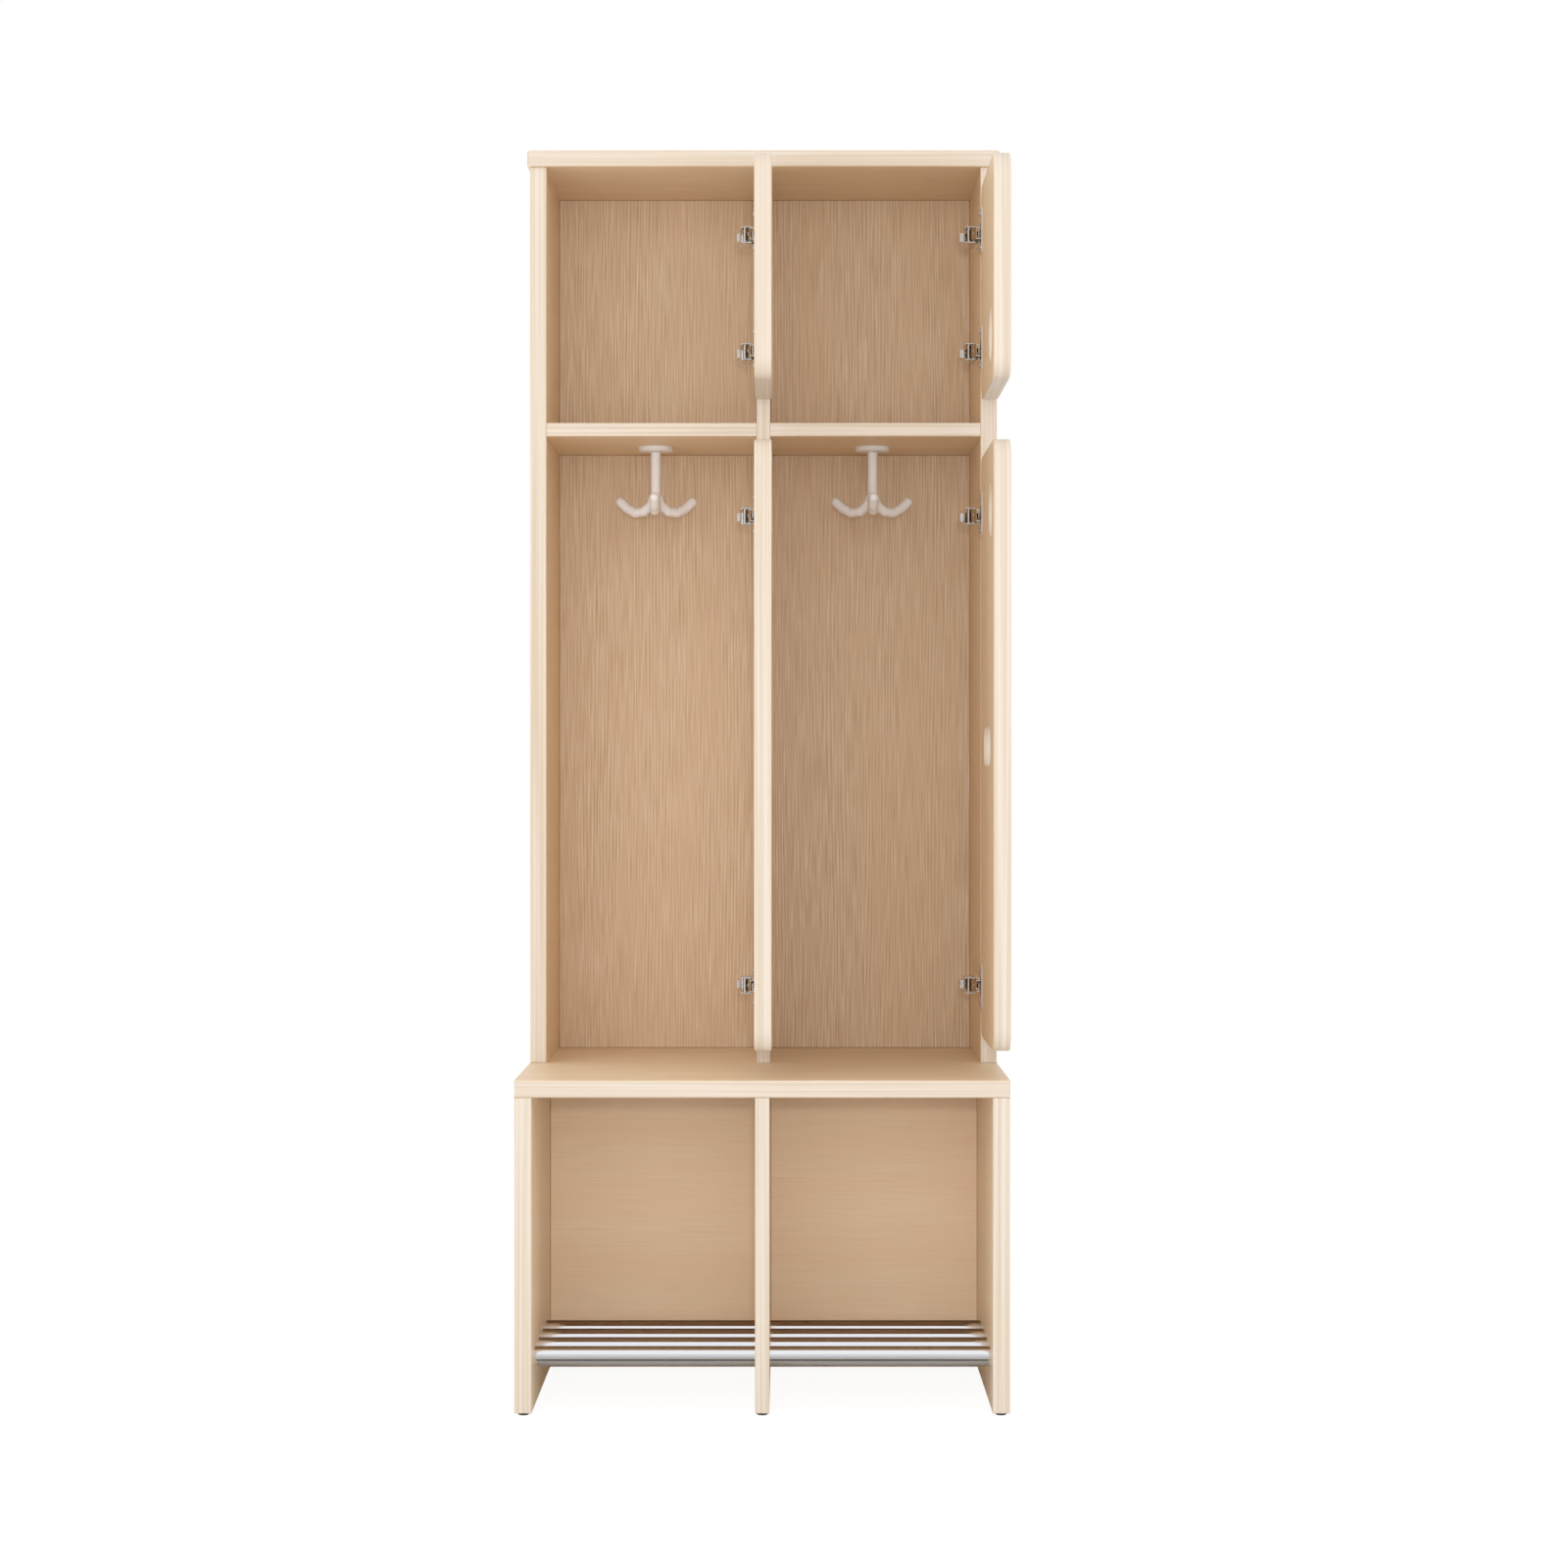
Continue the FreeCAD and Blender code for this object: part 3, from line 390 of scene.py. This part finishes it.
chrome, tree = new_material("polished_chrome")
place = add(tree, "ShaderNodeTexCoord")
drawn = add(tree, "ShaderNodeMapping", {"Scale": (draw_line_share, 1.0, 1.0)},
            {"Vector": place.outputs["Object"]})
lines = add(tree, "ShaderNodeTexNoise", {"Scale": 1 / draw_line_width, "Detail": draw_line_detail},
            {"Vector": drawn.outputs[0]})
gloss = add(tree, "ShaderNodeMapRange", {"To Min": chrome_smoothest, "To Max": chrome_roughest},
            {"Value": lines.outputs["Fac"]})
shader = add(tree, "ShaderNodeBsdfPrincipled", {"Base Color": linear(chrome_grey), "Metallic": 1.0},
             {"Roughness": gloss.outputs[0]})
add(tree, "ShaderNodeOutputMaterial", {}, {"Surface": shader.outputs[0]})
for name in ("shoe_tube_1", "shoe_tube_2", "shoe_tube_3", "shoe_tube_4"):
    coat(name, chrome)

# The two bench backs are boards of the same softwood, with the grain lying level, set between the panels.
# Their faces are quieter than the uprights, with a few short faint streaks.
side_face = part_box("bench_side_right")[0].x
divider_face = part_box("bench_divider")[1].x
# Where the bench backs meet the sides and the divider, a line of painted shade is drawn on their front faces.
bench_back_seams = (("X", side_face), ("X", divider_face))
# The bench backs' tones are drawn lighter than the other boards': painted light for the shaded bay under the
# seat.
bench_back_painted_light_tones = ("#F8E3CB", "#F1D8BA", "#E1BE99", "#EFC9AC")
bench_back_first_number = 21
for number, name in enumerate(("bench_back_left", "bench_back_right"), bench_back_first_number):
    coat(name, lacquered_board("lacquered_" + name, "X", "Y", number, bench_back_painted_light_tones, ring_share=0.12,
                               fibre_share=0.6, dash_share=0.4, seams=bench_back_seams))

# The seat lies across the bench on dowels and carries the cabinet.
# It is one board of the same softwood, lacquered, with the grain running with its length.
seat_number = 11
coat("seat_board", lacquered_board("lacquered_seat", "X", "Z", seat_number, ring_share=0.25))

# The dowels are turned beech, fluted and glued in the board joints.
# They have no lacquer, so the wood is dull and a shade darker than the boards.
beech_light = "#DDB98E"
beech_dark = "#C79A6B"
beech_fleck, beech_fleck_detail = 0.0011, 2.0
beech_roughness = 0.7

beech, tree = new_material("turned_beech")
place = add(tree, "ShaderNodeTexCoord")
flecks = add(tree, "ShaderNodeTexNoise", {"Scale": 1 / beech_fleck, "Detail": beech_fleck_detail},
             {"Vector": place.outputs["Object"]})
tone = add(tree, "ShaderNodeMix", {"data_type": "RGBA", 6: linear(beech_dark), 7: linear(beech_light)},
           {0: flecks.outputs["Fac"]})
shader = add(tree, "ShaderNodeBsdfPrincipled", {"Roughness": beech_roughness},
             {"Base Color": tone.outputs[2]})
add(tree, "ShaderNodeOutputMaterial", {}, {"Surface": shader.outputs[0]})
coat("dowels", beech)

# The cabinet has two sides and a divider with upright grain, and two shelves doweled between them.
# They are the same lacquered boards as the bench, in the plain tones; the bench's are drawn lighter as
# painted light.
cabinet_first_number = 4
shelf_first_number = 12
for number, name in enumerate(("cabinet_side_left", "cabinet_side_right", "cabinet_divider"),
                              cabinet_first_number):
    coat(name, lacquered_board("lacquered_" + name, "Z", "X", number))
for number, name in enumerate(("shelf_left", "shelf_right"), shelf_first_number):
    coat(name, lacquered_board("lacquered_" + name, "X", "Z", number))

# The thin back slides into grooves round the cabinet. It is pressed board with an upright oak-like veneer,
# so its growth rings show as fine dark lines, and it is browner than the solid boards.
back_tones = ("#E7D6C0", "#D4BA9D", "#B5956F", "#D9BA9A")
back_number = 31
seat_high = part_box("seat_board")[1].z
shelf_low, shelf_high = (corner.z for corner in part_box("shelf_left"))
top_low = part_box("top_board")[0].z
# Where the cabinet back meets the panels and shelves, a line of painted shade is drawn on its front face.
cabinet_back_seams = (("X", side_face), ("X", divider_face), ("Z", seat_high),
                      ("Z", shelf_low), ("Z", shelf_high), ("Z", top_low))
coat("cabinet_back", lacquered_board("veneered_cabinet_back", "Z", "Y", back_number, back_tones,
                                     ring_share=0.65, fibre_share=1.2, dash_share=1.1,
                                     seams=cabinet_back_seams))

# The top board closes the cabinet on dowels and overhangs it a little.
# It is the same lacquered board, with its front corners rounded.
top_number = 14
coat("top_board", lacquered_board("lacquered_top", "X", "Z", top_number, ring_share=0.25))

# Each swivelling triple hook and its disc are moulded in cream acetal and turn on a bolt through the shelf.
# The eye sees a satin ivory with the soft mottle of a spark-eroded mould, drawn coarser so that it shows.
acetal_light = "#F0EFEF"
acetal_dark = "#E6E4E3"
acetal_ior, acetal_roughness = 1.48, 0.36
mottle_width, mottle_detail = 0.0009, 3.0
mottle_strength, mottle_depth = 0.1, 0.0002

acetal, tree = new_material("moulded_acetal")
place = add(tree, "ShaderNodeTexCoord")
mottle = add(tree, "ShaderNodeTexNoise", {"Scale": 1 / mottle_width, "Detail": mottle_detail},
             {"Vector": place.outputs["Object"]})
tone = add(tree, "ShaderNodeMix", {"data_type": "RGBA", 6: linear(acetal_dark), 7: linear(acetal_light)},
           {0: mottle.outputs["Fac"]})
bump = add(tree, "ShaderNodeBump", {"Strength": mottle_strength, "Distance": mottle_depth},
           {"Height": mottle.outputs["Fac"]})
shader = add(tree, "ShaderNodeBsdfPrincipled", {"Roughness": acetal_roughness, "IOR": acetal_ior},
             {"Base Color": tone.outputs[2], "Normal": bump.outputs[0]})
add(tree, "ShaderNodeOutputMaterial", {}, {"Surface": shader.outputs[0]})
for side in ("left", "right"):
    coat("hook_" + side, acetal)
    coat("hook_rosette_" + side, acetal)

# Screws, rivets and bolts are turned steel with zinc plate, duller and bluer than the nickel round them.
# The eye sees a soft grey metal with a faint cloudy bloom.
zinc_grey = "#B9BABD"
zinc_smoothest, zinc_roughest = 0.24, 0.42
bloom_width, bloom_detail = 0.0024, 3.0

zinc, tree = new_material("zinc_plated_steel")
place = add(tree, "ShaderNodeTexCoord")
bloom = add(tree, "ShaderNodeTexNoise", {"Scale": 1 / bloom_width, "Detail": bloom_detail},
            {"Vector": place.outputs["Object"]})
gloss = add(tree, "ShaderNodeMapRange", {"To Min": zinc_smoothest, "To Max": zinc_roughest},
            {"Value": bloom.outputs["Fac"]})
shader = add(tree, "ShaderNodeBsdfPrincipled", {"Base Color": linear(zinc_grey), "Metallic": 1.0},
             {"Roughness": gloss.outputs[0]})
add(tree, "ShaderNodeOutputMaterial", {}, {"Surface": shader.outputs[0]})
for name in ("plate_screws", "arm_screws", "hook_bolts"):
    coat(name, zinc)

# The doors hang on the right of each compartment. They are the same board with upright grain, with their
# corners rounded and a finger hole and a slot sawn through, bevelled and lacquered with the rest.
doors = ("upper_left", "upper_right", "lower_left", "lower_right")
door_first_number = 41
for number, name in enumerate(doors, door_first_number):
    coat("door_" + name, lacquered_board("lacquered_door_" + name, "Z", "X", number))

# The hinges are stamped steel with bright nickel plate, barrel plated before they are riveted together.
# The eye sees a warm mirror that is a little uneven from the stamping.
# The drawn cups and the mounting plates are drawn in a lighter grey than the arms and links: painted
# highlight on the same plate.
arm_grey = "#D9D4CD"
cup_painted_highlight_grey = "#F3F1F0"
nickel_smoothest, nickel_roughest = 0.07, 0.15
ripple_width, ripple_detail = 0.0038, 2.0
ripple_strength, ripple_depth = 0.15, 0.0003

for finish, nickel_grey, parts in (
        ("nickel_plated_stamping", arm_grey, ("hinge_arms_", "outer_links_", "inner_links_")),
        ("nickel_with_painted_highlight", cup_painted_highlight_grey, ("hinge_cups_", "hinge_plates_"))):
    nickel, tree = new_material(finish)
    place = add(tree, "ShaderNodeTexCoord")
    ripple = add(tree, "ShaderNodeTexNoise", {"Scale": 1 / ripple_width, "Detail": ripple_detail},
                 {"Vector": place.outputs["Object"]})
    gloss = add(tree, "ShaderNodeMapRange", {"To Min": nickel_smoothest, "To Max": nickel_roughest},
                {"Value": ripple.outputs["Fac"]})
    bump = add(tree, "ShaderNodeBump", {"Strength": ripple_strength, "Distance": ripple_depth},
               {"Height": ripple.outputs["Fac"]})
    shader = add(tree, "ShaderNodeBsdfPrincipled", {"Base Color": linear(nickel_grey), "Metallic": 1.0},
                 {"Roughness": gloss.outputs[0], "Normal": bump.outputs[0]})
    add(tree, "ShaderNodeOutputMaterial", {}, {"Surface": shader.outputs[0]})
    for name in doors:
        for part in parts:
            coat(part + name, nickel)
for name in doors:
    for part in ("cup_screws_", "hinge_rivets_"):
        coat(part + name, zinc)
